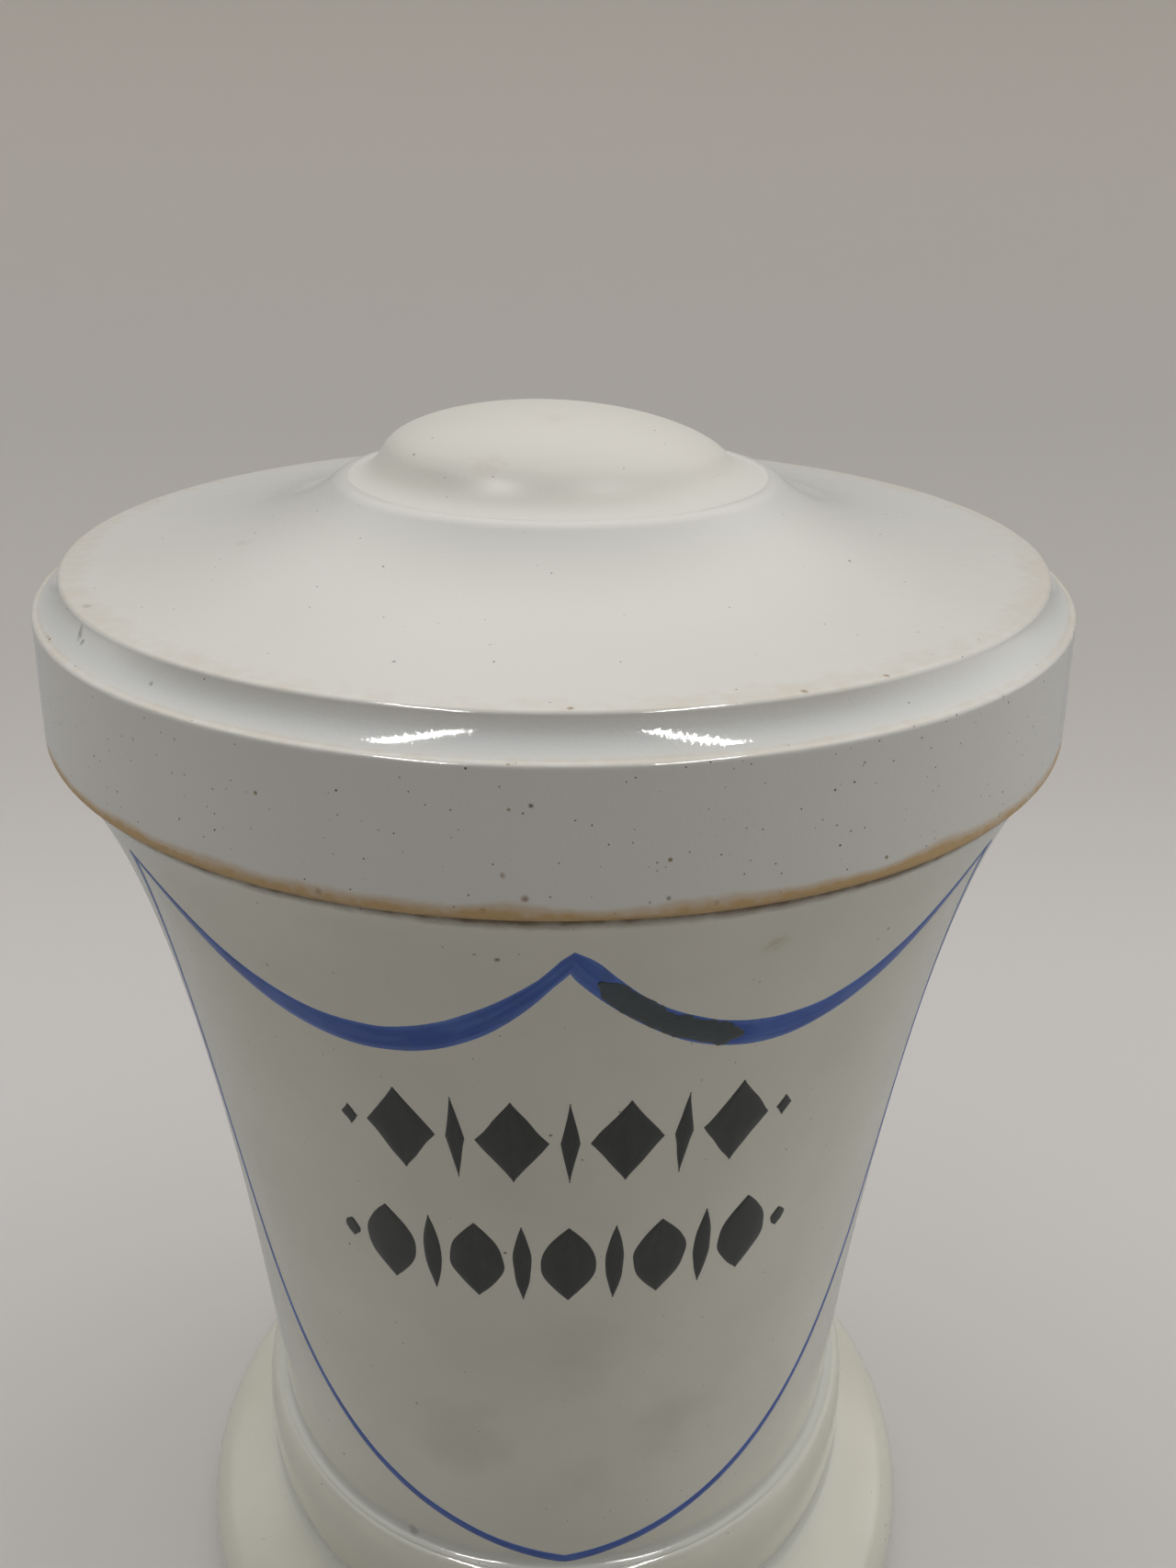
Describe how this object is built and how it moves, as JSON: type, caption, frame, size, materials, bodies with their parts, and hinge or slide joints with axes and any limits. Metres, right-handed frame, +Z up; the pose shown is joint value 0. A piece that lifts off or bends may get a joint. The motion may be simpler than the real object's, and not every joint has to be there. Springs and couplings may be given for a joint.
{
  "type": "apothecary jar",
  "caption": "Lidded porcelain pharmacy jar: flared body on a beaded bell foot, with a cap lid and low domed knob, for storing a dry or pasty preparation.",
  "frame": {"origin": "centre of the foot's standing ring, on the shelf", "axes": "+Z up along the axis that everything is turned about, -Y towards the labelled front"},
  "size_m": [0.1112, 0.1112, 0.1623],
  "materials": {
    "glazed_porcelain": "clear glaze over off-white porcelain, glossy",
    "glazed_porcelain_lid": "clear glaze over off-white porcelain, glossy, with fine dark specks",
    "blue_enamel": "brushed cobalt-blue enamel, fired on",
    "dark_retouch": "dark greenish retouching paint over worn enamel",
    "black_enamel": "brushed black enamel, fired on"
  },
  "bodies": {
    "jar": {"jar_body": "glazed_porcelain", "jar_foot": "glazed_porcelain", "cartouche_line": "blue_enamel", "cartouche_retouch": "dark_retouch", "label_row_upper": "black_enamel", "label_row_lower": "black_enamel"},
    "lid": {"lid_cover": "glazed_porcelain_lid", "lid_knob": "glazed_porcelain_lid"}
  },
  "joints": [
    {"name": "lid_lift", "type": "slide", "parent": "jar", "child": "lid", "axis": [0, 0, 1], "range_m": [0, 0.06]}
  ]
}
